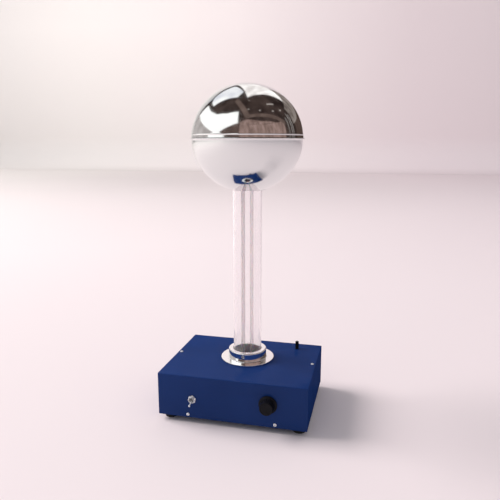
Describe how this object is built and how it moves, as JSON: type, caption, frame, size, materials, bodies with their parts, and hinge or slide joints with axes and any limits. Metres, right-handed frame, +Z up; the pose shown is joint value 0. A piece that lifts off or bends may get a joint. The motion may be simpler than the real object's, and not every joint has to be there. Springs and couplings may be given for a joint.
{
  "type": "van de graaff generator",
  "caption": "Tabletop Van de Graaff generator: motor-driven belt in a clear column lifts charge to a two-part mirror sphere on a sheet-metal base with switch and speed knob.",
  "frame": {"origin": "on the floor plane, under the middle of the object's outline seen from above", "axes": "+Z up along the column, front panel with switch and knob towards -Y, +X to the right seen from the front"},
  "size_m": [0.26, 0.2215, 0.5725],
  "materials": {
    "blue_paint": "semi-gloss dark blue enamel on sheet steel",
    "mirror_steel": "mirror polished",
    "screw_steel": "bright nickel plate",
    "plain_steel": "plain bright steel",
    "black_plastic": "matt black moulded plastic",
    "black_rubber": "matt black rubber",
    "acrylic": "clear polished acrylic",
    "belt_rubber": "pale pinkish belt rubber, smooth",
    "white_plastic": "off-white machined plastic",
    "brass": "bright brass",
    "aluminium": "satin machined aluminium",
    "circuit_board": "green solder mask"
  },
  "bodies": {
    "base": {"base_cover": "blue_paint", "base_pan": "blue_paint", "bearing_bracket": "aluminium", "board_capacitor": "black_plastic", "board_heat_sink": "aluminium", "board_standoff_1": "white_plastic", "board_standoff_2": "white_plastic", "board_standoff_3": "white_plastic", "board_standoff_4": "white_plastic", "collar_bolt_1": "screw_steel", "collar_bolt_2": "screw_steel", "collar_bolt_3": "screw_steel", "collar_set_screw": "screw_steel", "column_collar": "mirror_steel", "column_tube": "acrylic", "control_board": "circuit_board", "drive_belt": "belt_rubber", "foot_front_left": "black_rubber", "foot_front_right": "black_rubber", "foot_rear_left": "black_rubber", "foot_rear_right": "black_rubber", "front_screw_1": "screw_steel", "front_screw_2": "screw_steel", "ground_stud": "brass", "ground_washer": "black_plastic", "hub_screw_1": "screw_steel", "hub_screw_2": "screw_steel", "hub_screw_3": "screw_steel", "inlet_body": "black_plastic", "inlet_pin_earth": "screw_steel", "inlet_pin_line": "screw_steel", "inlet_pin_neutral": "screw_steel", "joint_ring": "aluminium", "lower_bearing": "brass", "lower_comb": "brass", "lower_comb_bracket": "black_plastic", "lower_dome": "mirror_steel", "motor_bracket": "aluminium", "motor_can": "plain_steel", "motor_end_cap": "black_plastic", "pot_body": "plain_steel", "pot_nut": "screw_steel", "rear_screw_1": "screw_steel", "rear_screw_2": "screw_steel", "sphere_hub": "aluminium", "switch_body": "screw_steel", "switch_nut": "screw_steel", "top_screw_1": "screw_steel", "top_screw_2": "screw_steel", "upper_axle": "plain_steel", "upper_comb": "brass", "upper_yoke": "white_plastic"},
    "upper_dome": {"upper_dome": "mirror_steel"},
    "toggle": {"switch_lever": "screw_steel"},
    "speed_knob": {"speed_knob": "black_plastic", "pot_shaft": "aluminium"},
    "motor_rotor": {"motor_rotor": "plain_steel", "lower_roller": "white_plastic"},
    "upper_roller": {"upper_roller": "aluminium"},
    "ground_cap": {"ground_cap": "black_plastic"}
  },
  "joints": [
    {"name": "dome_lift", "type": "slide", "parent": "base", "child": "upper_dome", "axis": [0, 0, 1], "range_m": [0, 0.12]},
    {"name": "toggle_throw", "type": "hinge", "parent": "base", "child": "toggle", "pos_m": [-0.0682, -0.089, 0.0441], "axis": [-1, 0, 0], "range_deg": [0, 35.2]},
    {"name": "speed_turn", "type": "hinge", "parent": "base", "child": "speed_knob", "pos_m": [0.0643, -0.1, 0.0507], "axis": [0, 1, 0], "range_deg": [0, 300]},
    {"name": "motor_spin", "type": "hinge", "parent": "base", "child": "motor_rotor", "pos_m": [0.003, 0.013, 0.04], "axis": [0, 1, 0], "continuous": true},
    {"name": "upper_roller_spin", "type": "hinge", "parent": "base", "child": "upper_roller", "pos_m": [0.003, 0.013, 0.4715], "axis": [0, 1, 0], "continuous": true},
    {"name": "ground_cap_turn", "type": "hinge", "parent": "base", "child": "ground_cap", "pos_m": [0.0858, 0.0735, 0.094], "axis": [0, 0, 1], "range_deg": [0, 1080]}
  ],
  "couplings": [
    {"joint": "upper_roller_spin", "follows": "motor_spin", "ratio": 1}
  ]
}
